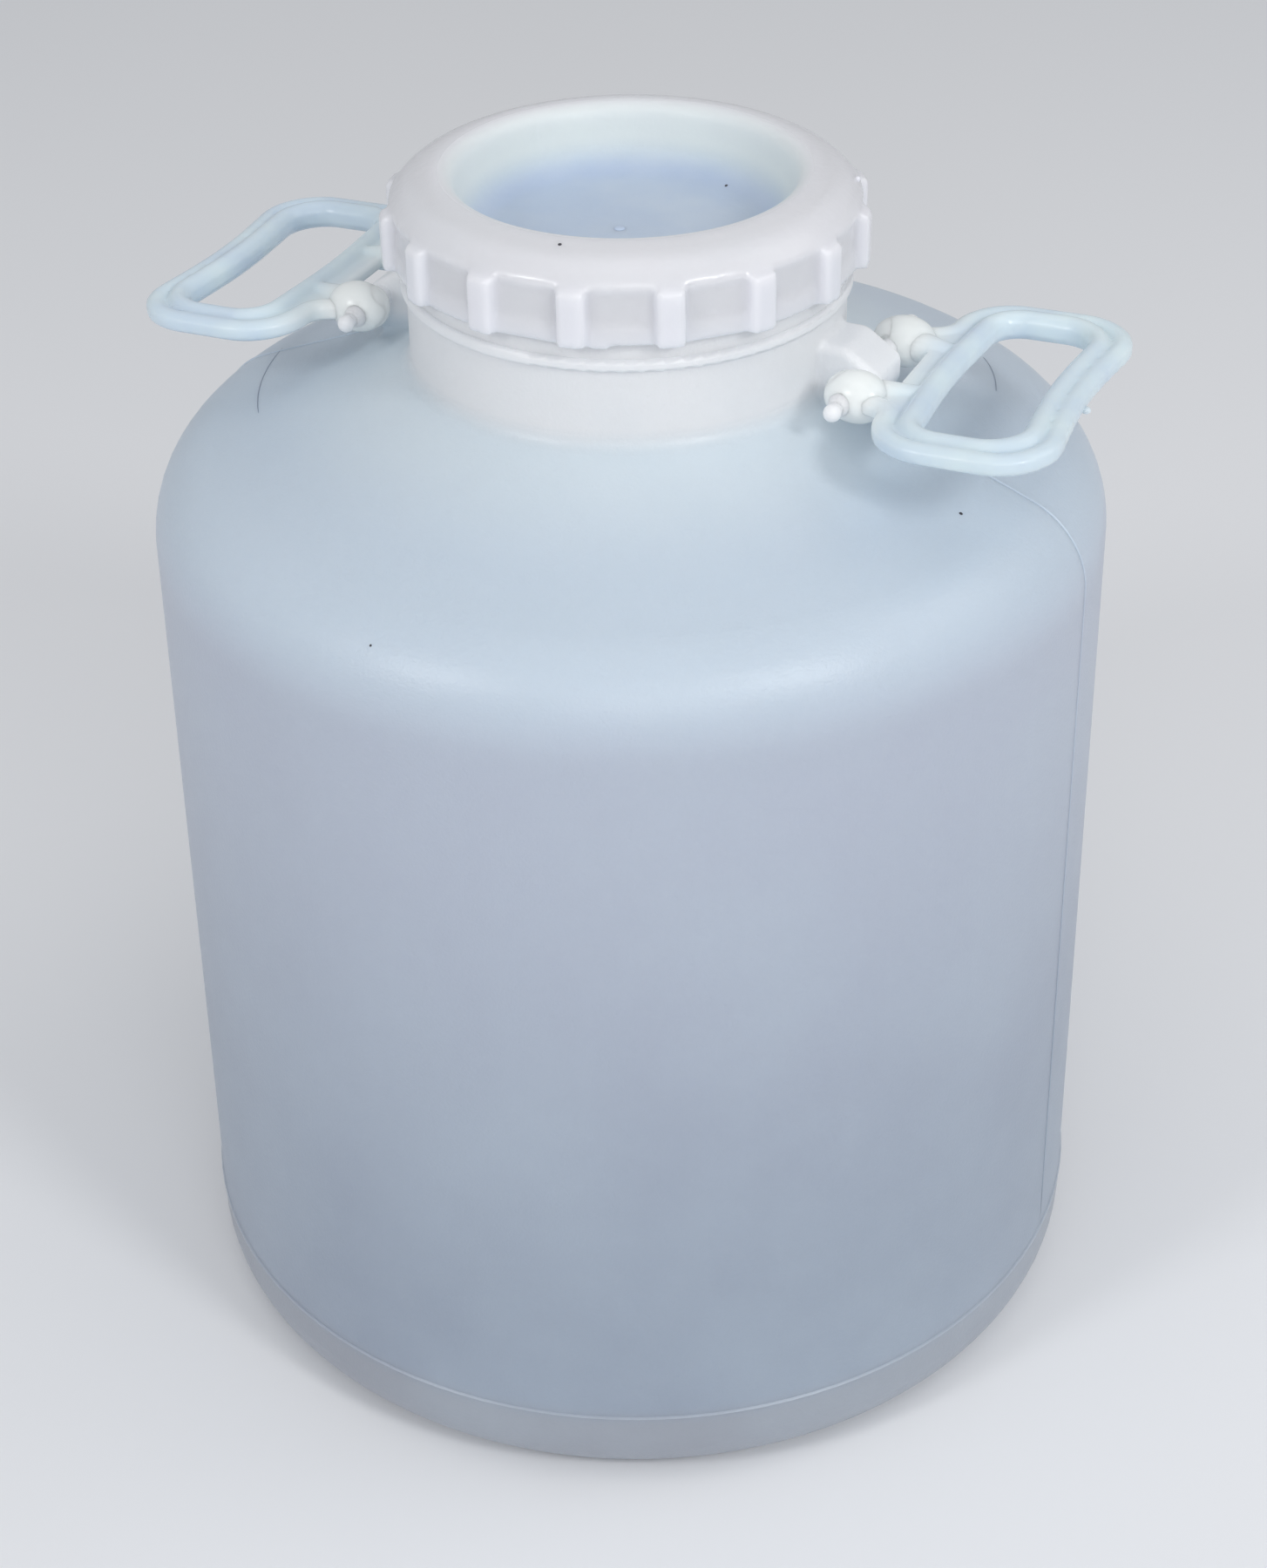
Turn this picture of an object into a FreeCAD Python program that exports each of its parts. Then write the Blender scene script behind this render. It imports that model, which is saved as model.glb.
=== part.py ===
"""Wide-mouth plastic drum: a blow-moulded body with a screw cap and two hinged loop handles.

Frame: +Z up, origin at the middle of the base, where the drum stands. The two lugs on the
neck lie on +X and -X. The handles turn about pins that run along Y. Sizes are millimetres.
"""
import FreeCAD
import Part
import os
from math import atan, atan2, cos, hypot, pi, radians, sin, sqrt, tan
from FreeCAD import Vector

# ---- drum body ----
base_radius = 120.5         # outside of the wall where it meets the base
shoulder_radius = 118.0     # outside of the wall where it meets the shoulder
shoulder_height = 239.5     # where wall and shoulder would meet if the edge were sharp
base_edge_radius = 15.5
shoulder_edge_radius = 23.0
shoulder_slope = 21.8       # degrees, rise of the shoulder towards the neck
wall = 2.2
push_up = 4.0               # the base is domed inwards so that it stands on a ring
push_up_radius = 92.0
push_up_ramp = 7.0
parting_height = 24.0       # the mould's base insert leaves a small step round the wall
parting_step = 0.5

# ---- neck ----
neck_radius = 52.8
neck_length = 41.3          # from the sharp foot of the neck to its lip
neck_foot_radius = 4.0
neck_wall = 2.4
bead_below_lip = 21.0       # stop bead that the cap's skirt comes down to
bead_height = 3.0
bead_reach = 1.4
bead_edge_radius = 1.0

# ---- screw cap ----
cap_clearance = 0.7         # between the neck and the inside of the skirt
cap_wall = 2.4
lip_room = 3.1              # from the neck's lip up to the underside of the cap's roof
cap_height = 20.5           # from the skirt's edge to the top
rim_drop = 6.7              # from the cap's top down to the lower edge of its rounded shoulder
dish_room = 6.8             # from the neck's bore in to the sunk centre's wall
dish_depth = 16.0
dish_draft = 4.5            # how much narrower the sunk centre is at its floor
dish_foot_radius = 8.0
dish_back_radius = 1.5      # where the sunk centre's wall meets the roof, underneath
crest_radius = 3.8          # between the sunk centre's wall and the cap's rounded shoulder
rim_overhang = 0.2          # how far the rounded shoulder stands out over the skirt
rim_foot = 1.5              # height of the slope under that overhang
seat_inset = 0.6            # the seat runs this far past the lip, inside the neck
seat_outset = 0.2           # and this far from the lip's outer edge towards the skirt
seat_lean = 0.6
seat_root_radius = 1.0
seat_chamfer = 2.0
rib_count = 16
rib_width = 6.8
rib_reach = 2.4             # how far a grip rib stands off the skirt
rib_root = 1.0              # how far it is let into the skirt
rib_edge_radius = 1.3
rib_below_rim = 0.4         # from the rounded shoulder's edge down to the ribs' upper ends
rib_angle = -55.5           # degrees, the first rib
skirt_band = 4.5            # plain band at the skirt's lower edge
skirt_band_step = 0.5
nub_angle = -72.0           # degrees, small stop that hangs below the skirt's edge
nub_width = 4.6
nub_depth = 1.9
nub_drop = 1.1

# ---- lugs with their pins ----
pin_reach = 10.2            # pin axis, outwards from the neck
pin_above_shoulder = 6.5    # pin axis, above the sharp foot of the neck
pin_radius = 2.5
pin_tip_radius = 2.1        # rounded nub on the end of each pin
pin_tip_neck = 1.7
pin_tip_length = 7.0        # from a knuckle's outer end to the pin's end
stem_half_width = 8.0
stem_rise = 7.0             # top of the stem above the pin axis, at the neck
stem_top_reach = 4.1        # flat top of the stem ends this far short of the pin axis
stem_nose = 4.6             # end of the stem, outwards from the pin axis and below it
stem_nose_top = 1.0         # upright part of the stem's end, above the pin axis
stem_under_radius = 3.6
stem_front_radius = 2.8
stem_brow_radius = 4.6
stem_edge_radius = 2.0
stem_root_radius = 2.0      # where a stem runs into the neck and the shoulder

# ---- loop handles ----
handle_tilt = {"right": 1.5, "left": -1.5}   # degrees above level, as the handles stand
pin_clearance = 0.35
stem_clearance = 1.0        # between the stem's sides and the handle
knuckle_middle = 15.8       # middle of each ball-shaped knuckle, from the lug's middle
knuckle_radius = 5.7
loop_near = 10.0            # from the pin axis to the loop's inner edge
loop_far = 56.0             # from the pin axis to the grip's outer corners
loop_half_width = 41.5
loop_near_slant = 2.0
loop_shelf = 3.0            # near edge left between an ear's flare and the loop's corner
loop_far_corner = 15.0
ear_near = 1.7              # where the loop's edge comes out of a knuckle
ear_inset = 1.0             # and how far short of the knuckle's outer end that is
ear_flare = 3.0
ear_radius = 4.0
grip_bow = 4.6              # the grip's outer edge bends in this far at its middle
grip_end_width = 11.1       # from the loop's outer edge to the finger opening, at the corners
side_width = 9.5
opening_near = 22.0         # from the pin axis to the finger opening's near corners
opening_near_corner = 6.0
opening_far_corner = 8.0
opening_near_bow = 2.2      # the opening's near edge bends towards the pin
opening_far_bow = 2.6       # and its far edge bends the same way
bow_share = 0.4             # share of each half edge that its bend takes up
inner_bead_width = 5.6
inner_bead_height = 7.2
outer_bead_radius = 2.6
web = 3.0
arm_root_radius = 4.6       # an arm where it leaves its knuckle
arm_end_radius = 2.3        # and where it runs into the loop
arm_end_spread = 11.0       # place of that end, from the lug's middle

tiny = 0.001                # places nearer to each other than this are the same place

# ---- worked out from the sizes above ----
slope = radians(shoulder_slope)
wall_lean = atan((base_radius - shoulder_radius) / shoulder_height)
neck_foot = shoulder_height + (shoulder_radius - neck_radius) * tan(slope)
lip_height = neck_foot + neck_length
bead_z = lip_height - bead_below_lip
cap_top = lip_height + lip_room + cap_wall
skirt_z = cap_top - cap_height
skirt_radius = neck_radius + cap_clearance + cap_wall
dish_radius = neck_radius - neck_wall - dish_room - cap_wall    # at the top of its wall
rim_z = cap_top - rim_drop
foot_r = neck_radius + neck_foot_radius      # middle of the rounding at the neck's foot
foot_z = neck_foot + neck_foot_radius * (1 / cos(slope) - tan(slope))
pin_x = neck_radius + pin_reach
pin_z = neck_foot + pin_above_shoulder
pin_shank_half_length = knuckle_middle + knuckle_radius
pin_half_length = pin_shank_half_length + pin_tip_length
ear_half_width = knuckle_middle + knuckle_radius - ear_inset
loop_near_corner = loop_half_width - ear_half_width - ear_flare - loop_shelf


def unit(dx, dz):
    """Direction of a step, as a pair of length one."""
    size = hypot(dx, dz)
    return dx / size, dz / size


def rounded_wire(corners, closed, place):
    """Wire through corners (a, b, radius): straight runs joined by tangent arcs.

    place(a, b) gives the point in space. A corner whose radius is nought stays sharp.
    """
    count = len(corners)
    starts, ends, middles = [], [], []
    for i, (a, b, radius) in enumerate(corners):
        inner = closed or 0 < i < count - 1
        if radius == 0 or not inner:
            starts.append((a, b))
            ends.append((a, b))
            middles.append(None)
            continue
        before = corners[i - 1]
        after = corners[(i + 1) % count]
        ua = unit(before[0] - a, before[1] - b)
        ub = unit(after[0] - a, after[1] - b)
        half = 0.5 * abs(atan2(ua[0] * ub[1] - ua[1] * ub[0], ua[0] * ub[0] + ua[1] * ub[1]))
        back = radius / tan(half)
        across = unit(ua[0] + ub[0], ua[1] + ub[1])
        reach = radius / sin(half) - radius
        starts.append((a + ua[0] * back, b + ua[1] * back))
        ends.append((a + ub[0] * back, b + ub[1] * back))
        middles.append((a + across[0] * reach, b + across[1] * reach))
    edges = []
    for i in range(count):
        if middles[i] is not None:
            edges.append(Part.Arc(place(*starts[i]), place(*middles[i]), place(*ends[i])).toShape())
        if i + 1 < count or closed:
            here, there = ends[i], starts[(i + 1) % count]
            if hypot(there[0] - here[0], there[1] - here[1]) > tiny:
                edges.append(Part.makeLine(place(*here), place(*there)))
    return Part.Wire(edges)


def offset_corners(corners, distance, closed):
    """The same outline moved to its left by distance, with its arcs kept concentric."""
    count = len(corners)
    side_count = count if closed else count - 1
    sides = []
    for i in range(side_count):
        here, there = corners[i], corners[(i + 1) % count]
        sides.append(unit(there[0] - here[0], there[1] - here[1]))
    moved = []
    for i, (a, b, radius) in enumerate(corners):
        first = sides[i - 1] if closed or i > 0 else sides[0]
        last = sides[i] if i < side_count else sides[-1]
        turn = first[0] * last[1] - first[1] * last[0]
        lean = 1 + first[0] * last[0] + first[1] * last[1]
        na = (-first[1] - last[1]) / lean
        nb = (first[0] + last[0]) / lean
        new_radius = 0 if radius == 0 else radius - distance if turn > 0 else radius + distance
        moved.append((a + na * distance, b + nb * distance, max(new_radius, 0)))
    return moved


def upright(r, z):
    """A point of a turned profile, in the XZ plane."""
    return Vector(r, 0, z)


def turned(wire_corners):
    """Solid turned about the Z axis from a closed outline of (radius, height, corner radius)."""
    face = Part.Face(rounded_wire(wire_corners, True, upright))
    return face.revolve(Vector(0, 0, 0), Vector(0, 0, 1), 360)


def drum_shell():
    """Body wall, base with its push-up, shoulder and open neck, all of one thin wall."""
    wall_at_step = base_radius - parting_height * tan(wall_lean)
    outside = [
        (0, push_up, 0),
        (push_up_radius, push_up, push_up_ramp),
        (push_up_radius + push_up_ramp, 0, push_up_ramp / 2),
        (base_radius, 0, base_edge_radius),
        (shoulder_radius, shoulder_height, shoulder_edge_radius),
        (neck_radius, neck_foot, neck_foot_radius),
        (neck_radius, lip_height, 0),
    ]
    inside = offset_corners(outside, wall, False)
    neck_bore = neck_radius - neck_wall
    foot_inside, foot_height, foot_radius = inside[-2]
    foot_rise = (foot_inside - neck_bore) * tan(slope)
    inside[-2:] = [(neck_bore, foot_height + foot_rise, foot_radius), (neck_bore, lip_height, 0)]
    shell = turned(outside + inside[::-1])
    band = turned([
        (wall_at_step - wall / 2, parting_height - parting_step, 0),
        (wall_at_step, parting_height - parting_step, 0),
        (wall_at_step + parting_step, parting_height, 0),
        (wall_at_step, parting_height + parting_step, 0),
        (wall_at_step - wall / 2, parting_height + parting_step, 0),
    ])
    bead = turned([
        (neck_radius - neck_wall / 2, bead_z - bead_height / 2, 0),
        (neck_radius + bead_reach, bead_z - bead_height / 2, bead_edge_radius),
        (neck_radius + bead_reach, bead_z + bead_height / 2, bead_edge_radius),
        (neck_radius - neck_wall / 2, bead_z + bead_height / 2, 0),
    ])
    return shell.fuse([band, bead])


def lug():
    """One lug on +X: a rounded stem off neck and shoulder, with a cross pin and its two tips."""
    root = neck_radius - neck_wall / 2
    in_foot = (neck_foot_radius + wall / 2) / sqrt(2)
    side = [
        (root, foot_z, 0),
        (foot_r - in_foot, foot_z - in_foot, 0),
        (pin_x, neck_foot - wall / 2 - pin_reach * tan(slope), 0),
        (pin_x + stem_nose, pin_z - stem_nose, stem_under_radius),
        (pin_x + stem_nose, pin_z + stem_nose_top, stem_front_radius),
        (pin_x - stem_top_reach, pin_z + stem_rise, stem_brow_radius),
        (root, pin_z + stem_rise, 0),
    ]
    face = Part.Face(rounded_wire(side, True, lambda a, b: Vector(a, -stem_half_width, b)))
    stem = face.extrude(Vector(0, 2 * stem_half_width, 0))
    outer_edges = [e for e in stem.Edges
                   if abs(abs(e.CenterOfMass.y) - stem_half_width) < tiny
                   and e.CenterOfMass.z > pin_z - stem_nose
                   and e.CenterOfMass.x > root + stem_edge_radius / 2]
    stem = stem.makeFillet(stem_edge_radius, outer_edges)
    axis = Vector(0, 1, 0)
    tip_y = pin_half_length - pin_tip_radius
    shank = Part.makeCylinder(pin_radius, 2 * pin_shank_half_length,
                              Vector(pin_x, -pin_shank_half_length, pin_z), axis)
    core = Part.makeCylinder(pin_tip_neck, 2 * tip_y, Vector(pin_x, -tip_y, pin_z), axis)
    tips = [Part.makeSphere(pin_tip_radius, Vector(pin_x, y, pin_z)) for y in (-tip_y, tip_y)]
    return stem.fuse([shank, core] + tips)


def off_skin(point):
    """How far a point lies off the outside of the neck, its foot or the shoulder."""
    out, up = hypot(point.x, point.y) - foot_r, point.z - foot_z
    if up > 0:
        return abs(out + neck_foot_radius)
    if out * cos(slope) > up * sin(slope):
        return abs(out * sin(slope) + up * cos(slope) + neck_foot_radius)
    return abs(hypot(out, up) - neck_foot_radius)


def stem_roots(body):
    """The edges where both stems leave neck and shoulder; a seam of the shell is not one."""
    roots = []
    for edge in body.Edges:
        first, last = edge.ParameterRange
        points = [edge.valueAt(first + (last - first) * share) for share in (0.1, 0.5, 0.9)]
        widest = max(abs(point.y) for point in points)
        if tiny < widest < stem_half_width + tiny and max(map(off_skin, points)) < tiny:
            roots.append(edge)
    return roots


def drum_body():
    """The whole blow-moulded piece: shell, neck bead and both lugs. The bore stays clear."""
    right = lug()
    left = right.copy()
    left.rotate(Vector(0, 0, 0), Vector(0, 0, 1), 180)
    body = drum_shell().fuse([right, left])
    bore = Part.makeCylinder(neck_radius - neck_wall, lip_height, Vector(0, 0, neck_foot))
    body = body.cut(bore).removeSplitter()
    return body.makeFillet(stem_root_radius, stem_roots(body))


def cap_profile():
    """Closed outline of the cap: plain skirt, rounded shoulder, crest, sunk centre and seat."""
    crest_turn = pi / 2 - atan(dish_draft / dish_depth)
    rim_r = dish_radius + crest_radius * tan(crest_turn / 2)
    rim_edge = skirt_radius + rim_overhang
    floor_z = cap_top - dish_depth
    roof_z = cap_top - cap_wall
    lip_bore = neck_radius - neck_wall
    bore = neck_radius + cap_clearance
    outline = rounded_wire([
        (rim_r, cap_top, 0),
        (dish_radius, cap_top, crest_radius),
        (dish_radius - dish_draft, floor_z, dish_foot_radius),
        (0, floor_z, 0),
        (0, floor_z - cap_wall, 0),
        (dish_radius + cap_wall - dish_draft, floor_z - cap_wall, dish_foot_radius / 2),
        (dish_radius + cap_wall, roof_z, dish_back_radius),
        (lip_bore - seat_inset - seat_lean, roof_z, seat_root_radius),
        (lip_bore - seat_inset, lip_height, 0),
        (neck_radius + seat_outset, lip_height, 0),
        (bore, lip_height - seat_chamfer, 0),
        (bore, skirt_z, 0),
        (skirt_radius, skirt_z, 0),
        (skirt_radius, skirt_z + skirt_band, 0),
        (skirt_radius - skirt_band_step, skirt_z + skirt_band, 0),
        (skirt_radius - skirt_band_step, rim_z - rim_foot, 0),
        (rim_edge, rim_z, 0),
    ], False, upright)
    half_turn = atan2(rim_drop, rim_edge - rim_r)
    rim_radius = (rim_edge - rim_r) / sin(2 * half_turn)
    middle = upright(rim_r + rim_radius * sin(half_turn), cap_top - rim_radius * (1 - cos(half_turn)))
    rim = Part.Arc(upright(rim_r, cap_top), middle, upright(rim_edge, rim_z)).toShape()
    return Part.Face(Part.Wire(Part.__sortEdges__(outline.Edges + [rim])))


def grip_rib():
    """One wide rib on +X, with its two outer edges and its top edge rounded."""
    rib_top = rim_z - rib_below_rim
    face_x = skirt_radius + rib_reach
    rib = Part.makeBox(rib_root + rib_reach, rib_width, rib_top - skirt_z,
                       Vector(skirt_radius - rib_root, -rib_width / 2, skirt_z))
    rounded = [e for e in rib.Edges if abs(e.CenterOfMass.x - face_x) < tiny
               and abs(e.CenterOfMass.z - skirt_z) > tiny]
    return rib.makeFillet(rib_edge_radius, rounded)


def screw_cap():
    """The cap, turned, with its grip ribs and the small stop under the skirt."""
    origin, axis = Vector(0, 0, 0), Vector(0, 0, 1)
    ribs = []
    for k in range(rib_count):
        rib = grip_rib()
        rib.rotate(origin, axis, rib_angle + 360 * k / rib_count)
        ribs.append(rib)
    nub = Part.makeBox(nub_depth, nub_width, 2 * nub_drop,
                       Vector(skirt_radius - nub_depth, -nub_width / 2, skirt_z - nub_drop))
    nub.rotate(origin, axis, nub_angle)
    return cap_profile().revolve(origin, axis, 360).fuse(ribs + [nub]).removeSplitter()


def in_plan(a, b):
    """A point of the handle's outline: a outwards from the pin axis, b along the pin."""
    return Vector(a, b, 0)


def mirrored(corners):
    """The same corners on -b, in the opposite order."""
    return [(a, -b, radius) for a, b, radius in reversed(corners)]


def bend(a, half_width, bow):
    """Middle corner of an edge at a that bends towards the pin by bow, as one wide arc."""
    return [(a - bow, 0, bow_share * half_width ** 2 / bow)]


def loop_edge(inset):
    """The loop's outer edge, from one knuckle round the grip to the other, moved inwards."""
    half = [
        (ear_near, ear_half_width, 0),
        (loop_near, ear_half_width + ear_flare, ear_radius),
        (loop_near + loop_near_slant, loop_half_width, loop_near_corner),
        (loop_far, loop_half_width, loop_far_corner),
    ]
    edge = half + bend(loop_far, loop_half_width, grip_bow) + mirrored(half)
    return offset_corners(edge, -inset, False)


def opening_edge(outset):
    """The finger opening's edge, moved outwards."""
    far = loop_far - grip_end_width
    half_width = loop_half_width - side_width
    corner_limit = (far - opening_near) / 2
    half = [
        (opening_near, half_width, min(opening_near_corner, corner_limit)),
        (far, half_width, min(opening_far_corner, corner_limit)),
    ]
    edge = (half + bend(far, half_width, opening_far_bow) + mirrored(half)
            + bend(opening_near, half_width, opening_near_bow))
    return offset_corners(edge, outset, True)


def bead(corners, width, height, closed):
    """Round or oval bead that follows an outline, with its height upright."""
    path = rounded_wire(corners, closed, in_plan)
    first = path.OrderedEdges[0]
    start = first.valueAt(first.FirstParameter)
    heading = first.tangentAt(first.FirstParameter)
    across = heading.cross(Vector(0, 0, 1))
    if width == height:
        section = Part.makeCircle(width / 2, start, heading)
    else:
        tall_end = start + Vector(0, 0, height / 2)
        flat_end = start + across * (width / 2)
        section = Part.Ellipse(tall_end, flat_end, start).toShape()
    return path.makePipeShell([Part.Wire(section)], True, False, 2)


def slab(corners, thickness):
    """Flat plate of that closed outline, halfway above and halfway below the pin axis."""
    wire = rounded_wire(corners, True, in_plan)
    wire.translate(Vector(0, 0, -thickness / 2))
    return Part.Face(wire).extrude(Vector(0, 0, thickness))


def handle():
    """One handle lying level, its pin axis on the Y axis and its grip towards +X."""
    notch = knuckle_middle - knuckle_radius
    root_edge = [(loop_near, -notch, 0), (loop_near, notch, 0)]
    plate = slab(loop_edge(0) + root_edge, web).cut(slab(opening_edge(0), 2 * web))
    pieces = [
        bead(opening_edge(inner_bead_width / 2), inner_bead_width, inner_bead_height, True),
        bead(loop_edge(outer_bead_radius), 2 * outer_bead_radius, 2 * outer_bead_radius, False),
    ]
    for side in (-1, 1):
        knuckle = Vector(0, side * knuckle_middle, 0)
        arm_end = Vector(opening_near - inner_bead_width / 2, side * arm_end_spread, 0)
        arm = arm_end - knuckle
        pieces.append(Part.makeSphere(knuckle_radius, knuckle))
        pieces.append(Part.makeCone(arm_root_radius, arm_end_radius, arm.Length, knuckle, arm))
    bore = Part.makeCylinder(pin_radius + pin_clearance, 2 * pin_half_length,
                             Vector(0, -pin_half_length, 0), Vector(0, 1, 0))
    room_half_width = stem_half_width + stem_clearance
    room = Part.makeBox(2 * loop_near, 2 * room_half_width, 4 * knuckle_radius,
                        Vector(-loop_near, -room_half_width, -2 * knuckle_radius))
    return plate.fuse(pieces).cut([bore, room]).removeSplitter()


def placed_handle(side):
    """The handle on its lug, raised by its own tilt."""
    shape = handle()
    shape.rotate(Vector(0, 0, 0), Vector(0, 1, 0), -handle_tilt[side])
    shape.translate(Vector(pin_x, 0, pin_z))
    if side == "left":
        shape.rotate(Vector(0, 0, 0), Vector(0, 0, 1), 180)
    return shape


def write(name, shape):
    """One STEP file for each piece, after a look at what was built."""
    if len(shape.Solids) != 1:
        raise ValueError(f"{name} has {len(shape.Solids)} solids")
    solid = shape.Solids[0]
    if not solid.isValid():
        raise ValueError(f"{name} is not a valid solid")
    box = solid.BoundBox
    print(f"{name}: volume {solid.Volume / 1000:.1f} cm3, faces {len(solid.Faces)}, "
          f"box {box.XLength:.1f} x {box.YLength:.1f} x {box.ZLength:.1f}, top {box.ZMax:.1f}")
    solid.exportStep(f"parts/{name}.step")


os.makedirs("parts", exist_ok=True)
write("drum_body", drum_body())
write("screw_cap", screw_cap())
write("handle_right", placed_handle("right"))
write("handle_left", placed_handle("left"))
print(f"pin axis at x {pin_x:.2f}, z {pin_z:.2f}; lip {lip_height:.2f}; skirt edge {skirt_z:.2f}")
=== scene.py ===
"""Wide-mouth plastic drum: finish of the blow-moulded body, the screw cap and the loop handles.

Metres, in the part's own frame: +Z up, the base stands on Z = 0, the lugs lie on +X and -X.
"""

import bmesh
import bpy
import numpy as np
from mathutils import Matrix, Vector


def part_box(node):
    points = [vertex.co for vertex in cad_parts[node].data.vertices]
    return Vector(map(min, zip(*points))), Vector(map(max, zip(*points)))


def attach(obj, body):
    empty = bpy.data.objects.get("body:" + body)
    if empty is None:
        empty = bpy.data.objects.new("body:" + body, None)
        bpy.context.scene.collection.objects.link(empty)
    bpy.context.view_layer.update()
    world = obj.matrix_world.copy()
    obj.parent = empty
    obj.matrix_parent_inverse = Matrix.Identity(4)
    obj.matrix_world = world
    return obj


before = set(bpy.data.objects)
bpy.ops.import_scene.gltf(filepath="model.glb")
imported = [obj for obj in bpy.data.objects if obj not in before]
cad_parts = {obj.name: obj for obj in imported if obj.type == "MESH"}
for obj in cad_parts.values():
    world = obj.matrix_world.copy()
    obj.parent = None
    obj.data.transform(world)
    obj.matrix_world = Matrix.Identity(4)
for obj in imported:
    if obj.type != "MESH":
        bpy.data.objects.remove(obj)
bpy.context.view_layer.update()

# ---- Viewpoint -------------------------------------------------------------------------------
# The drum is seen from above its shoulder, a quarter turn short of facing a handle. The axis
# stands in the middle of the frame, and the camera leans by a degree to its left.
eye_angle = np.radians(-65.16)      # round the drum's axis, from +X
eye_reach = 0.6406                  # out from the axis
eye_height = 0.5644
view_turn = np.radians(24.885)      # heading, from +Y towards -X
view_drop = np.radians(33.633)      # below level
view_roll = np.radians(-0.974)
focal_length, sensor_size = 66.0, 36.0      # mm

heading = np.array([-np.sin(view_turn), np.cos(view_turn), 0.0])
forward = heading * np.cos(view_drop) - np.array([0.0, 0.0, np.sin(view_drop)])
level = np.cross(forward, [0.0, 0.0, 1.0])
level /= np.linalg.norm(level)
rise = np.cross(level, forward)
right = np.cos(view_roll) * level + np.sin(view_roll) * rise
above = np.cos(view_roll) * rise - np.sin(view_roll) * level
camera_data = bpy.data.cameras.new("camera")
camera_data.lens = focal_length
camera_data.sensor_width = sensor_size
camera_data.clip_start = 0.01
camera = bpy.data.objects.new("camera", camera_data)
bpy.context.scene.collection.objects.link(camera)
place = Matrix(np.column_stack([right, above, -forward]).tolist()).to_4x4()
place.translation = Vector((eye_reach * np.cos(eye_angle), eye_reach * np.sin(eye_angle),
                            eye_height))
camera.matrix_world = place
bpy.context.scene.camera = camera
bpy.context.scene.view_settings.view_transform = "Standard"

# ---- Studio ----------------------------------------------------------------------------------
# A pale floor, an even pale room and soft lamps: two at either side of the camera, which draw
# the two short glints on the shoulder's edge, a wide one in front, one overhead and one behind.
floor_size = 8.0
floor_colour, room_colour, room_strength = "#f1f2f4", "#f0f2f6", 0.52
drum_middle = Vector((0.0, 0.0, 0.2))
lamps = {
    # name: angle round the axis, elevation (degrees), distance, size (m), power (W)
    "lamp_left": (-115, 34, 1.7, 0.34, 4.4),
    "lamp_right": (-25, 35, 1.7, 0.34, 5.6),
    "lamp_front": (-60, 30, 2.2, 1.40, 8.0),
    "lamp_overhead": (-60, 76, 1.8, 1.50, 3.0),
    "lamp_behind": (28, 42, 1.9, 1.10, 3.2),
}


def linear(code):
    """An sRGB hex colour as linear RGBA: the sRGB curve's power 2.4 part, and its straight toe."""
    s = np.array([int(code[i:i + 2], 16) for i in (1, 3, 5)]) / 255
    rgb = np.where(s <= 0.04045, s / 12.92, ((s + 0.055) / 1.055) ** 2.4)
    return (*rgb.tolist(), 1.0)


def add_node(material, kind, inputs=None, **settings):
    """Adds a shader node, sets it up, and gives each input a value or another node's output."""
    made = material.node_tree.nodes.new(kind)
    for name, value in settings.items():
        setattr(made, name, value)
    for name, value in (inputs or {}).items():
        if isinstance(value, bpy.types.NodeSocket):
            material.node_tree.links.new(value, made.inputs[name])
        else:
            made.inputs[name].default_value = value
    return made


def blank(name):
    """A material with an empty node tree."""
    made = bpy.data.materials.new(name)
    made.use_nodes = True
    made.node_tree.nodes.clear()
    return made


corners = np.array([[-1, -1, 0], [1, -1, 0], [1, 1, 0], [-1, 1, 0]]) * floor_size / 2
floor_mesh = bpy.data.meshes.new("floor")
floor_mesh.from_pydata(corners.tolist(), [], [(0, 1, 2, 3)])
floor = bpy.data.objects.new("floor", floor_mesh)
bpy.context.scene.collection.objects.link(floor)
paper = blank("studio_paper")       # matt and pale, so it shows the drum's soft shadow only
paper_face = add_node(paper, "ShaderNodeBsdfDiffuse", {"Color": linear(floor_colour)})
add_node(paper, "ShaderNodeOutputMaterial", {"Surface": paper_face.outputs[0]})
floor_mesh.materials.append(paper)

world = bpy.data.worlds.new("studio_room")
bpy.context.scene.world = world
world.use_nodes = True
world.node_tree.nodes["Background"].inputs["Color"].default_value = linear(room_colour)
world.node_tree.nodes["Background"].inputs["Strength"].default_value = room_strength

for name, (angle, elevation, distance, size, power) in lamps.items():
    lamp_data = bpy.data.lights.new(name, "AREA")
    lamp_data.shape = "DISK"
    lamp_data.size = size
    lamp_data.energy = power
    lamp = bpy.data.objects.new(name, lamp_data)
    bpy.context.scene.collection.objects.link(lamp)
    a, e = np.radians(angle), np.radians(elevation)
    away = Vector((np.cos(e) * np.cos(a), np.cos(e) * np.sin(a), np.sin(e)))
    lamp.location = drum_middle + away * distance
    lamp.rotation_euler = away.to_track_quat("Z", "Y").to_euler()

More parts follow.
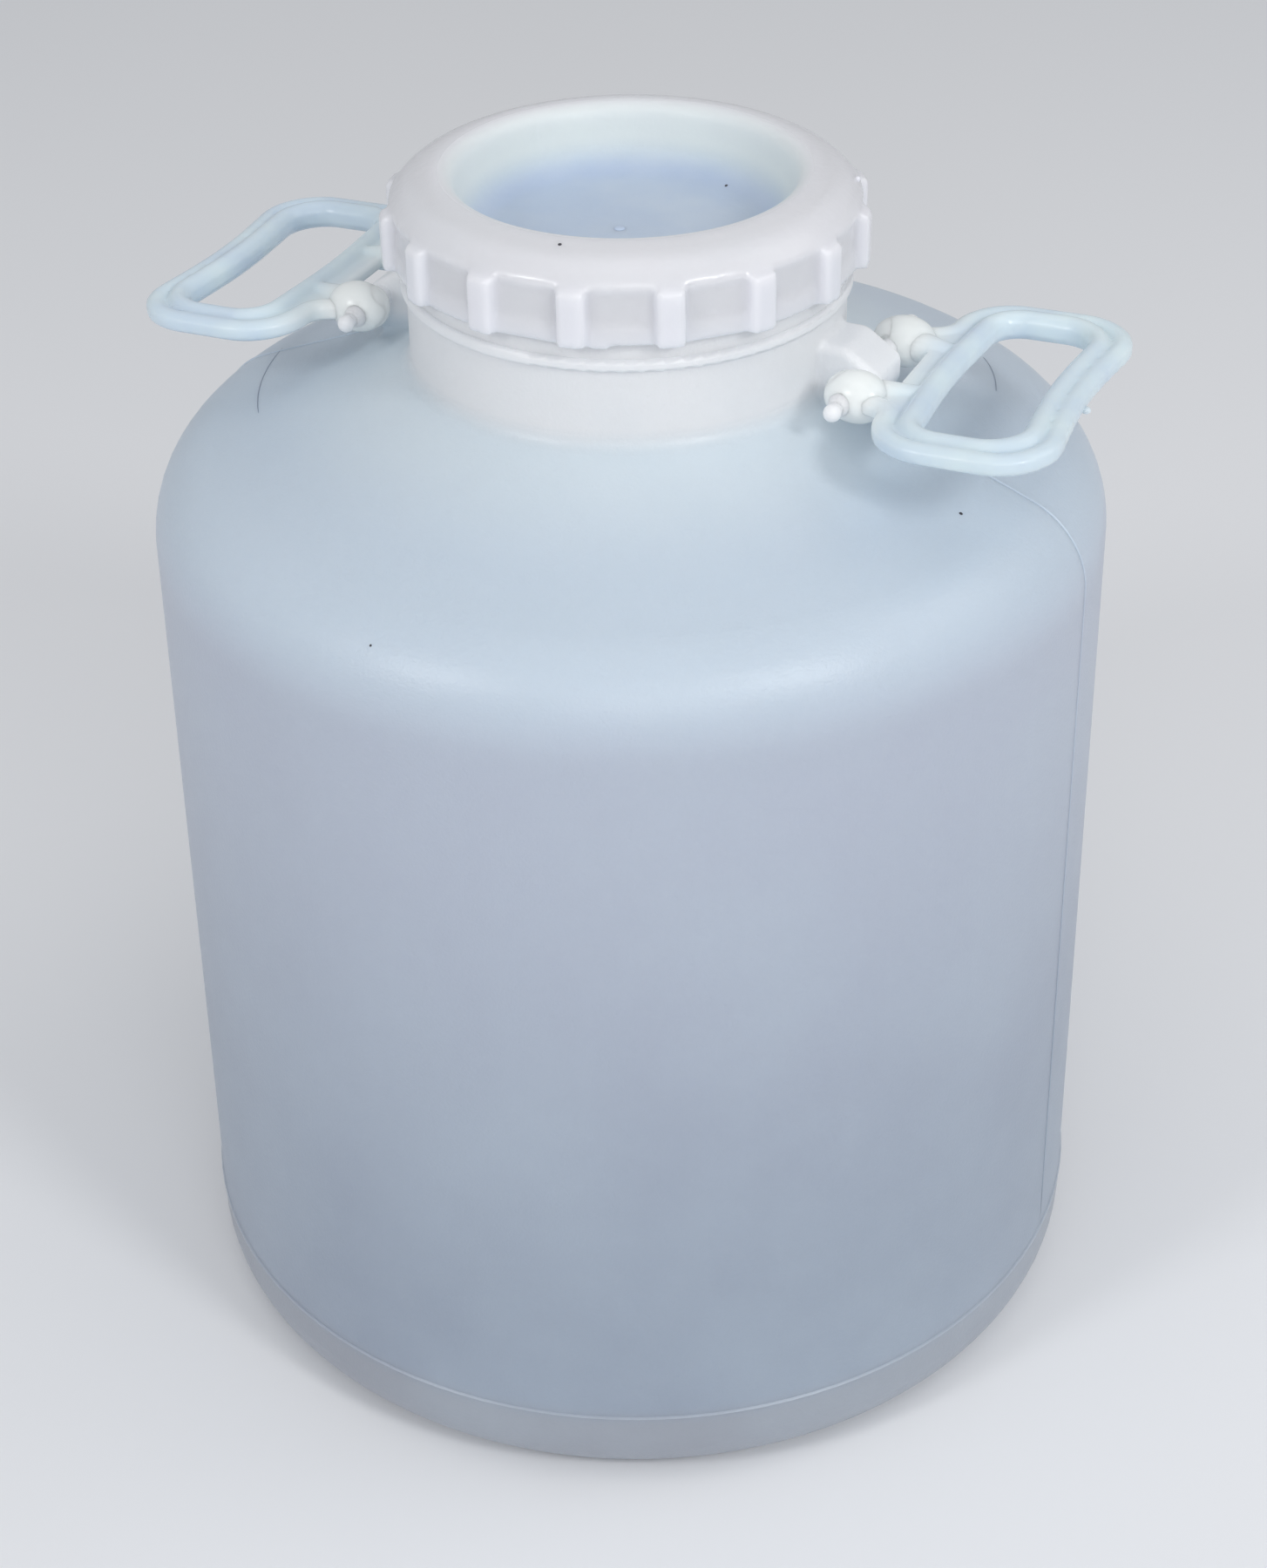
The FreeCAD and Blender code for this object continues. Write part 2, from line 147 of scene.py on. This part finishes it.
# ---- Drum body -------------------------------------------------------------------------------
# Natural high-density polyethylene, blown in a two-part mould: milky, so light soaks a few
# millimetres in. The hollow wall's grey blue is partly painted shade, the dark seen through the
# thin wall, while the thick neck and lugs stay white.
# The mould is grit-blasted, which leaves a satin skin with a fine grain and slow ripples.
parting_height = 0.024              # where the mould's base insert meets its halves
neck_start = 0.2650
# Tones by height, partly painted light: the wall lightening upwards and the lighter shoulder are
# painted light from above.
body_tones_and_painted_light = [
    # lowest height, height where the tone is reached, tone
    (0.000, 0.001, "#9ea3ad"),
    (parting_height - 0.004, parting_height + 0.004, "#99a4b4"),
    (0.040, 0.225, "#b8c0cf"),
    (0.218, 0.240, "#c8d5e3"),
    (0.250, neck_start, "#d6e2eb"),
    (neck_start - 0.001, neck_start + 0.005, "#f1f2f4"),
]
body_patch, body_patch_size = "#bfced9", 0.0714
# The real grain is about 0.2 mm; it is drawn at 0.9 mm, the finest that shows from here.
body_grain_size, body_grain_depth = 0.00091, 0.0004
# The wall cools unevenly, in ripples about 40 mm long.
ripple_length, ripple_depth = 0.0385, 0.0014
body_soak = 0.005                   # how far light spreads inside the plastic


def mottled(material, at, tone, patch, size, spread, most, detail=3.0, roughness=0.6):
    """A tone that drifts towards a patch tone in soft clouds: as the noise rises through the
    spread (low, high), the patch tone's share rises from 0 to most."""
    cloud = add_node(material, "ShaderNodeTexNoise", {
        "Vector": at, "Scale": 1 / size, "Detail": detail, "Roughness": roughness})
    share = add_node(material, "ShaderNodeMapRange", {
        0: cloud.outputs[0], 1: spread[0], 2: spread[1], 3: 0.0, 4: most})
    return add_node(material, "ShaderNodeMix", {
        0: share.outputs[0], 6: tone, 7: linear(patch)}, data_type="RGBA").outputs[2]


def uneven(material, at, size, depth, strength, detail=2.0, roughness=0.6, over=None):
    """The normal of a skin with bumps of a given size and depth, over another normal if given."""
    bumps = add_node(material, "ShaderNodeTexNoise", {
        "Vector": at, "Scale": 1 / size, "Detail": detail, "Roughness": roughness})
    inputs = {"Height": bumps.outputs[0], "Strength": strength, "Distance": depth}
    if over:
        inputs["Normal"] = over
    return add_node(material, "ShaderNodeBump", inputs).outputs[0]


body_plastic = blank("natural_polyethylene_blown")
at = add_node(body_plastic, "ShaderNodeTexCoord").outputs["Object"]
height = add_node(body_plastic, "ShaderNodeSeparateXYZ", {0: at}).outputs["Z"]
tone = None
# The height ramp paints the light from above into the upper wall and the shoulder.
for start, full, code in body_tones_and_painted_light:
    share = add_node(body_plastic, "ShaderNodeMapRange", {0: height, 1: start, 2: full},
                     interpolation_type="SMOOTHSTEP").outputs[0]
    tone = add_node(body_plastic, "ShaderNodeMix",
                    {0: share, 6: tone or linear(code), 7: linear(code)},
                    data_type="RGBA").outputs[2]
tone = mottled(body_plastic, at, tone, body_patch, body_patch_size, (0.35, 0.7), 0.22)
skin = uneven(body_plastic, at, body_grain_size, body_grain_depth, 0.30)
skin = uneven(body_plastic, at, ripple_length, ripple_depth, 0.40, roughness=0.45, over=skin)
body_shader = add_node(body_plastic, "ShaderNodeBsdfPrincipled", {
    "Base Color": tone, "Roughness": 0.36, "IOR": 1.54, "Normal": skin,
    "Subsurface Weight": 0.6, "Subsurface Radius": (1.0, 1.0, 1.0),
    "Subsurface Scale": body_soak,
})
add_node(body_plastic, "ShaderNodeOutputMaterial", {"Surface": body_shader.outputs[0]})
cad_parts["drum_body"].data.materials[0] = body_plastic

# ---- Mould seam ------------------------------------------------------------------------------
# The two halves of the blow mould meet in the plane of the lugs and leave a thin raised line up
# both sides, over the shoulder to the lugs; under the base the tube was pinched off in a weld.
base_radius, shoulder_radius, shoulder_height = 0.1205, 0.118, 0.2395
shoulder_edge_radius = 0.023
shoulder_slope = np.radians(21.8)
seam_foot = 1.05 * parting_height   # the line ends just above the base insert's step
seam_end = 0.0672                   # distance from the axis where it runs in under the lug
seam_half_width, seam_height = 0.0005, 0.00028
weld_reach, weld_half_width, weld_height, base_dome = 0.062, 0.0009, 0.0010, 0.0040


def closed_skin(name, rings, material):
    """A smooth object from rings of points (rows, steps, 3); rings that shrink to a point are
    merged, and the faces are turned to point outwards."""
    rows, steps = rings.shape[:2]
    row = np.arange(rows - 1)[:, None] * steps
    here, after = np.arange(steps)[None, :], (np.arange(steps)[None, :] + 1) % steps
    faces = np.stack([row + here, row + after, row + steps + after, row + steps + here], axis=-1)
    mesh = bpy.data.meshes.new(name)
    mesh.from_pydata(rings.reshape(-1, 3).tolist(), [], faces.reshape(-1, 4).tolist())
    shape = bmesh.new()
    shape.from_mesh(mesh)
    bmesh.ops.remove_doubles(shape, verts=shape.verts, dist=1e-6)
    bmesh.ops.recalc_face_normals(shape, faces=shape.faces)
    shape.to_mesh(mesh)
    shape.free()
    mesh.shade_smooth()
    mesh.materials.append(material)
    made = bpy.data.objects.new(name, mesh)
    bpy.context.scene.collection.objects.link(made)
    return made


def line_on_skin(name, path, outward, half_width, height, material, steps=12):
    """A closed raised line that lies half sunk along a path on the drum's skin.

    Its section is the ellipse half_width * cos t to the side and height * sin t outwards. With
    u from -1 to 1 along the path, both are scaled by sqrt(1 - u^8), so the ends close.
    """
    along = np.gradient(path, axis=0)
    along /= np.linalg.norm(along, axis=1)[:, None]
    side = np.cross(along, outward)
    run = np.r_[0, np.cumsum(np.linalg.norm(np.diff(path, axis=0), axis=1))]
    scale = np.sqrt(np.clip(1 - (2 * run / run[-1] - 1) ** 8, 0, 1))[:, None, None]
    t = np.linspace(0, 2 * np.pi, steps, endpoint=False)[None, :, None]
    rings = path[:, None, :] + scale * (half_width * np.cos(t) * side[:, None, :]
                                        + height * np.sin(t) * outward[:, None, :])
    return closed_skin(name, rings, material)


def solid_copy(material, shader, name):
    """The same plastic for a piece too thin to have any depth that light could soak into."""
    made = material.copy()
    made.name = name
    made.node_tree.nodes[shader.name].inputs["Subsurface Weight"].default_value = 0.0
    return made


lean = np.arctan((base_radius - shoulder_radius) / shoulder_height)
rise_angle = np.pi / 2 - shoulder_slope
off_wall = np.array([np.cos(lean), np.sin(lean)])
off_shoulder = np.array([np.cos(rise_angle), np.sin(rise_angle)])
edge_middle = (np.array([shoulder_radius, shoulder_height])
               - shoulder_edge_radius * (off_wall + off_shoulder) / (1 + off_wall @ off_shoulder))
turn = np.linspace(lean, rise_angle, num=25)
edge_facing = np.column_stack([np.cos(turn), np.sin(turn)])
edge = edge_middle + shoulder_edge_radius * edge_facing
line_foot = np.array([base_radius - seam_foot * np.tan(lean), seam_foot])
line_top = edge[-1] + np.array([-1.0, np.tan(shoulder_slope)]) * (edge[-1, 0] - seam_end)
straight = np.linspace(0, 1, num=12, endpoint=False)[:, None]
line = np.vstack([line_foot + (edge[0] - line_foot) * straight, edge,
                  line_top + (edge[-1] - line_top) * straight[::-1]])
facing = np.vstack([edge_facing[:1].repeat(len(straight), axis=0), edge_facing,
                    edge_facing[-1:].repeat(len(straight), axis=0)])
seam_plastic = solid_copy(body_plastic, body_shader, "natural_polyethylene_seam")
for name, side in (("seam_right", 1.0), ("seam_left", -1.0)):
    path = np.column_stack([side * line[:, 0], np.zeros(len(line)), line[:, 1]])
    outward = np.column_stack([side * facing[:, 0], np.zeros(len(line)), facing[:, 1]])
    seam = line_on_skin(name, path, outward, seam_half_width, seam_height, seam_plastic)
    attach(seam, "drum")
along = np.linspace(-weld_reach, weld_reach, num=33)
path = np.column_stack([along, 0 * along, 0 * along + base_dome])
outward = np.tile([0.0, 0.0, -1.0], (len(along), 1))
weld = line_on_skin("pinch_off_weld", path, outward, weld_half_width, weld_height, seam_plastic)
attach(weld, "drum")

# ---- Pin ends --------------------------------------------------------------------------------
# The lugs' pins were pressed soft after the handles went on: a rounded collar of the drum's own
# white plastic closes each knuckle from outside and narrows to the nub at the pin's end.
pin_x, pin_z = 0.0630, 0.27208
collar_start, collar_end = 0.0215, 0.0240
collar_radius, nub_radius = 0.0028, 0.00212


def turned(name, profile, centre, axis, material, steps=40):
    """A surface turned about an axis through the centre: each of the profile's pairs (distance
    d along the axis, radius r) gives the ring centre + d * axis + r * (cos t * u + sin t * v),
    with u and v square to the axis."""
    axis = np.array(axis) / np.linalg.norm(axis)
    u = np.cross(axis, np.eye(3)[np.argmin(np.abs(axis))])
    u /= np.linalg.norm(u)
    t = np.linspace(0, 2 * np.pi, steps, endpoint=False)[:, None]
    ring = np.cos(t) * u + np.sin(t) * np.cross(axis, u)
    rings = (np.array(centre) + profile[:, 0, None, None] * axis
             + profile[:, 1, None, None] * ring[None])
    return closed_skin(name, rings, material)


# The collar's radius falls as cos^1.5 of a quarter turn; its ends close on the axis, the inner
# one through a slightly smaller ring inside the knuckle.
run = np.linspace(0, 1, num=12)
collar = np.column_stack([collar_start + (collar_end - collar_start) * run,
                          nub_radius + (collar_radius - nub_radius)
                          * np.cos(np.pi * run / 2) ** 1.5])
collar = np.vstack([[collar_start, 0.0], [collar_start, 0.8 * collar_radius], collar,
                    [collar_end, 0.0]])
for side, place in (("right", pin_x), ("left", -pin_x)):
    for end, sign in (("front", -1.0), ("back", 1.0)):
        pin_end = turned(f"pin_end_{side}_{end}", collar, (place, 0.0, pin_z),
                         (0.0, sign, 0.0), body_plastic)
        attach(pin_end, "drum")

# ---- Screw cap -------------------------------------------------------------------------------
# Injection-moulded polyethylene, thicker and whiter than the blown wall, from a polished mould:
# smoother, with a sheen on its rounded shoulder and soft-edged ribs. The sunk centre's floor has a
# cool painted shade, the shade of the recess; the drum under it is empty.
cap_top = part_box("screw_cap")[1][2]
dish_radius, dish_depth = 0.0412, 0.0160
dish_fade_out, dish_fade_in = 0.004, 0.002          # its tone fades in across the crest
floor_shade_start, floor_shade_full = 0.45, 0.97      # shares of the dish's depth
# The dish's floor tone is painted shade for the sunk recess.
rim_tone, dish_wall_tone, dish_floor_painted_shade = "#e8e8ef", "#e6f1ef", "#b9c8df"
cap_patch, cap_patch_size = "#dfe6ec", 0.0333
cap_grain_size, cap_grain_depth = 0.00238, 0.0005   # coarser than the real one, to show at all
rim_roughness, dish_roughness = 0.25, 0.50          # the dish was left duller than the rim
cap_soak = 0.007
cap_grid, cap_passes = 0.0007, 8

cap_plastic = blank("white_polyethylene_injected")
at = add_node(cap_plastic, "ShaderNodeTexCoord").outputs["Object"]
flat = add_node(cap_plastic, "ShaderNodeVectorMath", {0: at, 1: (1.0, 1.0, 0.0)},
                operation="MULTIPLY").outputs[0]
reach = add_node(cap_plastic, "ShaderNodeVectorMath", {0: flat},
                 operation="LENGTH").outputs["Value"]
height = add_node(cap_plastic, "ShaderNodeSeparateXYZ", {0: at}).outputs["Z"]
in_dish = add_node(cap_plastic, "ShaderNodeMapRange",
                   {0: reach, 1: dish_radius + dish_fade_out, 2: dish_radius - dish_fade_in},
                   interpolation_type="SMOOTHSTEP").outputs[0]
# How much of the painted recess shade the floor gets, by depth.
floor_shade_share = add_node(cap_plastic, "ShaderNodeMapRange",
                    {0: height, 1: cap_top - floor_shade_start * dish_depth,
                     2: cap_top - floor_shade_full * dish_depth},
                    interpolation_type="SMOOTHSTEP").outputs[0]
dish_tone_with_floor_shade = add_node(cap_plastic, "ShaderNodeMix",
                     {0: floor_shade_share, 6: linear(dish_wall_tone), 7: linear(dish_floor_painted_shade)},
                     data_type="RGBA").outputs[2]
tone = add_node(cap_plastic, "ShaderNodeMix", {0: in_dish, 6: linear(rim_tone), 7: dish_tone_with_floor_shade},
                data_type="RGBA").outputs[2]
tone = mottled(cap_plastic, at, tone, cap_patch, cap_patch_size, (0.4, 0.7), 0.25)
skin = uneven(cap_plastic, at, cap_grain_size, cap_grain_depth, 0.16, detail=3.0)
sheen = add_node(cap_plastic, "ShaderNodeMapRange",
                 {0: in_dish, 3: rim_roughness, 4: dish_roughness}).outputs[0]
cap_shader = add_node(cap_plastic, "ShaderNodeBsdfPrincipled", {
    "Base Color": tone, "Roughness": sheen, "IOR": 1.54, "Normal": skin,
    "Subsurface Weight": 0.8, "Subsurface Radius": (1.0, 1.0, 1.0),
    "Subsurface Scale": cap_soak,
})
add_node(cap_plastic, "ShaderNodeOutputMaterial", {"Surface": cap_shader.outputs[0]})
screw_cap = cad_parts["screw_cap"]
screw_cap.data.materials[0] = cap_plastic


def soften(piece, grid, passes):
    """Rounds a moulded piece's edges: its skin is rebuilt on a fine grid, then averaged."""
    joined = piece.modifiers.new("joined", "WELD")
    joined.merge_threshold = 1e-5
    rebuilt = piece.modifiers.new("rebuilt", "REMESH")
    rebuilt.mode = "VOXEL"
    rebuilt.voxel_size = grid
    rebuilt.use_smooth_shade = True
    averaged = piece.modifiers.new("averaged", "SMOOTH")
    averaged.factor = 0.5
    averaged.iterations = passes


soften(screw_cap, cap_grid, cap_passes)

# ---- Loop handles ----------------------------------------------------------------------------
# Injection-moulded low-density polyethylene, snapped over the lugs' pins: clearer and glossier
# than the drum, pale blue where the light runs along the beads and white at the thick knuckles.
knuckle_middle, knuckle_radius = 0.0162, 0.0062
knuckle_reach, knuckle_shift = 0.0078, 0.0022       # half length along the stem, and its centre
clear_from, white_until = 0.018, 0.004              # distance out from the pin
bead_tone, bead_patch, knuckle_tone = "#cddce8", "#dae8ec", "#f0f4f2"
bead_patch_size = 0.0167
handle_grain_size, handle_grain_depth = 0.00333, 0.0005     # coarser than the real one
handle_soak = 0.003
handle_grid, handle_passes = 0.0005, 10


def oval(radius, reach):
    """The profile of an egg-shaped ball: (-reach * cos a, radius * sin a) over half a turn."""
    a = np.linspace(0, np.pi, num=28)
    return np.column_stack([-reach * np.cos(a), radius * np.sin(a)])


handle_plastic = blank("clear_polyethylene_injected")
at = add_node(handle_plastic, "ShaderNodeTexCoord").outputs["Object"]
across = add_node(handle_plastic, "ShaderNodeSeparateXYZ", {0: at}).outputs["X"]
reach = add_node(handle_plastic, "ShaderNodeMath", {0: across}, operation="ABSOLUTE").outputs[0]
thick = add_node(handle_plastic, "ShaderNodeMapRange",
                 {0: reach, 1: pin_x + clear_from, 2: pin_x + white_until},
                 interpolation_type="SMOOTHSTEP").outputs[0]
tone = mottled(handle_plastic, at, linear(bead_tone), bead_patch, bead_patch_size,
               (0.35, 0.7), 1.0, detail=2.0, roughness=0.5)
tone = add_node(handle_plastic, "ShaderNodeMix", {0: thick, 6: tone, 7: linear(knuckle_tone)},
                data_type="RGBA").outputs[2]
skin = uneven(handle_plastic, at, handle_grain_size, handle_grain_depth, 0.12, roughness=0.5)
handle_shader = add_node(handle_plastic, "ShaderNodeBsdfPrincipled", {
    "Base Color": tone, "Roughness": 0.27, "IOR": 1.51, "Normal": skin,
    "Subsurface Weight": 0.6, "Subsurface Radius": (1.0, 1.0, 1.0),
    "Subsurface Scale": handle_soak,
})
add_node(handle_plastic, "ShaderNodeOutputMaterial", {"Surface": handle_shader.outputs[0]})
ball = oval(knuckle_radius, knuckle_reach)
for side, place in (("right", pin_x), ("left", -pin_x)):
    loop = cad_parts[f"handle_{side}"]
    loop.data.materials[0] = handle_plastic
    soften(loop, handle_grid, handle_passes)
    for end, sign in (("front", -1.0), ("back", 1.0)):
        middle = (place + np.sign(place) * knuckle_shift, sign * knuckle_middle, pin_z)
        knuckle = turned(f"knuckle_{side}_{end}", ball, middle, (1.0, 0.0, 0.0), handle_plastic)
        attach(knuckle, f"{side}_handle")

# ---- Small marks -----------------------------------------------------------------------------
# The drum is new but not perfect: scorched grains of polyethylene in its skin, the scars and
# burrs left where the gates were cut off, and two hairline scratches on the shoulder.
grain_radius, small_grain_radius = 0.00045, 0.0003
grain_rise, small_grain_rise = 0.00015, 0.00012
scratch_half_width, scratch_height = 0.00016, 0.0001
scorched = blank("scorched_polyethylene")     # near black, so a grain shows as a clear dot
scorched_face = add_node(scorched, "ShaderNodeBsdfPrincipled",
                         {"Base Color": linear("#3b3a42"), "Roughness": 0.5})
add_node(scorched, "ShaderNodeOutputMaterial", {"Surface": scorched_face.outputs[0]})
scratched = blank("scratched_polyethylene")   # the scored edge, a shade darker than the skin
scratched_face = add_node(scratched, "ShaderNodeBsdfPrincipled",
                          {"Base Color": linear("#8d99ac"), "Roughness": 0.3})
add_node(scratched, "ShaderNodeOutputMaterial", {"Surface": scratched_face.outputs[0]})
scar_plastic = solid_copy(cap_plastic, cap_shader, "white_polyethylene_scar")

marks = {
    # name: centre, outward direction, radius, height, material, what it rides
    "grain_on_rim": ((0.0056, -0.0472, 0.3119), (0.03, -0.28, 0.96),
                     grain_radius, grain_rise, scorched, "drum"),
    "grain_in_dish": ((0.0123, 0.0319, 0.2972), (-0.18, -0.45, 0.88),
                      grain_radius, grain_rise, scorched, "drum"),
    "grain_on_shoulder": ((0.0925, -0.0192, 0.2489), (0.36, -0.08, 0.93),
                          grain_radius, grain_rise, scorched, "drum"),
    "grain_on_edge": ((-0.0123, -0.1111, 0.2397), (-0.07, -0.71, 0.70),
                      small_grain_radius, small_grain_rise, scorched, "drum"),
    "cap_gate_scar": ((-0.0016, -0.0003, cap_top - dish_depth), (0, 0, 1),
                      0.0013, 0.00045, scar_plastic, "drum"),
    "cap_burr": ((0.0494, 0.0228, 0.3078), (0.68, 0.32, 0.66),
                 0.0007, 0.0009, scar_plastic, "drum"),
    "grip_gate_burr": ((0.1154, -0.0024, 0.2719), (1, 0, 0),
                       0.0009, 0.0012, handle_plastic, "right_handle"),
}
for name, (centre, away, radius, rise, material, body) in marks.items():
    mark = turned(name, oval(radius, rise), centre, away, material, steps=24)
    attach(mark, body)

scratches = {
    # name: three points along it, as distance from the axis (m) and angle round it (degrees)
    "scratch_right": ((0.0938, 41.2), (0.0931, 36.1), (0.0908, 27.3)),
    "scratch_left": ((0.0998, 178.6), (0.0954, 190.3), (0.0910, 205.8)),
}
# A parabola through the three points, at u = -1, 0 and 1, laid on the shoulder's cone.
u = np.linspace(-1, 1, num=25)
through = np.column_stack([u * (u - 1) / 2, 1 - u ** 2, u * (u + 1) / 2])
for name, places in scratches.items():
    radius, angle = (through @ np.array(places)).T
    angle = np.radians(angle)
    height = edge[-1, 1] + (edge[-1, 0] - radius) * np.tan(shoulder_slope)
    path = np.column_stack([radius * np.cos(angle), radius * np.sin(angle), height])
    outward = np.column_stack([np.sin(shoulder_slope) * np.cos(angle),
                               np.sin(shoulder_slope) * np.sin(angle),
                               np.full(len(angle), np.cos(shoulder_slope))])
    scratch = line_on_skin(name, path, outward, scratch_half_width, scratch_height, scratched)
    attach(scratch, "drum")
